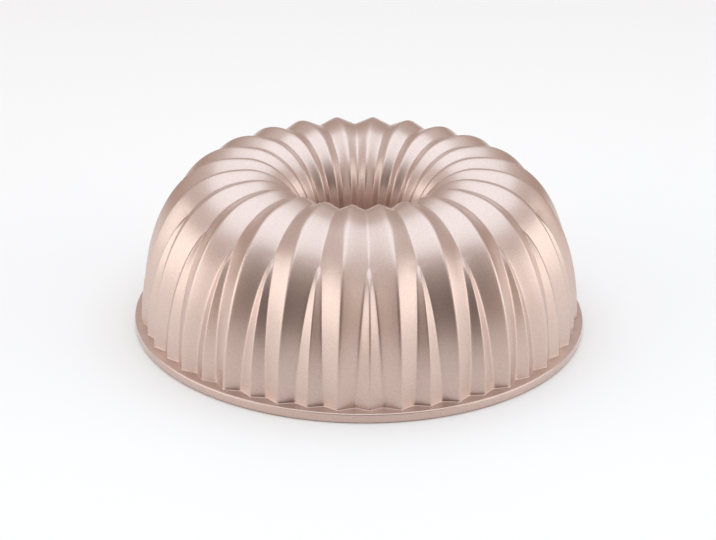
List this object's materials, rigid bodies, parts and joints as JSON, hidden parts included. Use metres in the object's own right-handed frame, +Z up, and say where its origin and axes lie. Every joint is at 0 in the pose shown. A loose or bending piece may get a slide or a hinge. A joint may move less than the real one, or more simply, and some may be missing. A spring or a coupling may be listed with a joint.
{
  "type": "fluted tube pan",
  "caption": "Round fluted tube pan in cast metal, standing on its flat rim, with a ring-shaped baking hollow round an open centre tube and ridges that fork down the wall.",
  "frame": {"origin": "centre of the rim's flat face, which is the plane the pan stands on", "axes": "+Z up along the tube's axis towards the crown; -Y faces a valley between two flutes, and the pan repeats every 15 degrees"},
  "size_m": [0.254, 0.254, 0.0934],
  "materials": {
    "cast_aluminium": "shot-blasted casting with its rim face sprayed like the lining",
    "rose_lacquer": "satin rose-gold metallic lacquer with a fine flake",
    "nonstick": "satin rose-gold non-stick coat"
  },
  "bodies": {
    "root": {"cast_body": "cast_aluminium", "outer_coat": "rose_lacquer", "nonstick_lining": "nonstick"}
  },
  "joints": []
}
